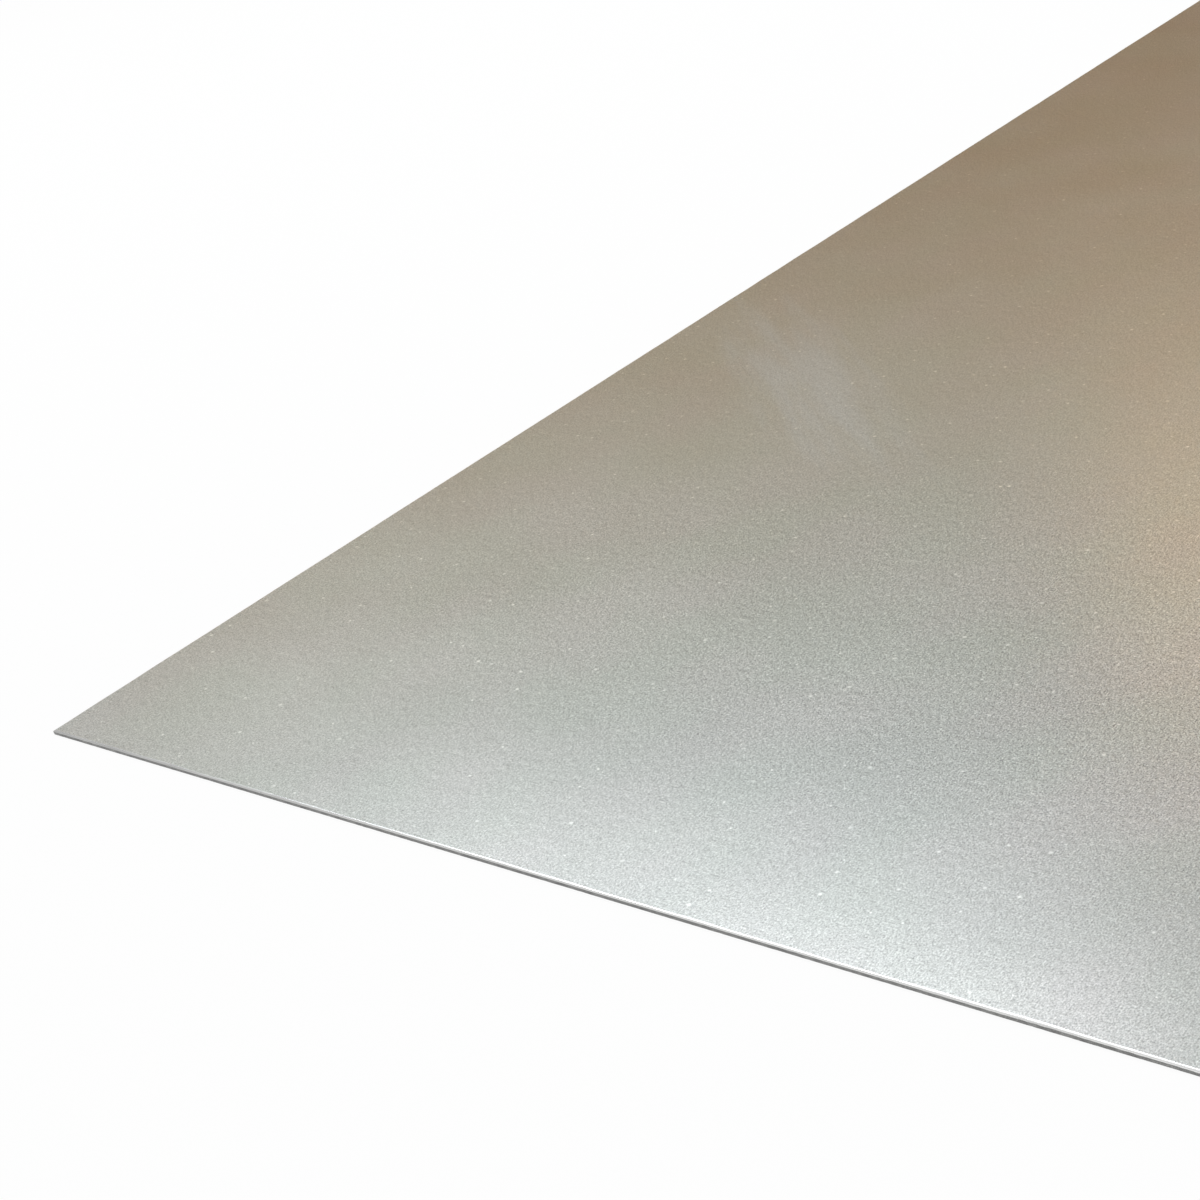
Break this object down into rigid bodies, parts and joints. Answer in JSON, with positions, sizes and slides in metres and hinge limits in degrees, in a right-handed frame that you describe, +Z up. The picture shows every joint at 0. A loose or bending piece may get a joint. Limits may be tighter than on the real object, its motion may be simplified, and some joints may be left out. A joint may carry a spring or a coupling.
{
  "type": "cold rolled steel sheet",
  "caption": "Flat rectangular sheet of thin matte cold rolled steel, cut square, with sheared edges and sharp corners.",
  "frame": {"origin": "centre of the sheet's underside, on the floor it lies on", "axes": "+Y along the sheet's length, which is the rolling direction; +X across its width; +Z up, through its thickness"},
  "size_m": [0.3048, 0.6096, 0.0009],
  "materials": {
    "cold_rolled_steel": "bare, matte roll-ground steel with a light film of oil; the cut edges have a bright rolled-over rim and burnished land over a dark torn band"
  },
  "bodies": {
    "root": {"sheet": "cold_rolled_steel"}
  },
  "joints": []
}
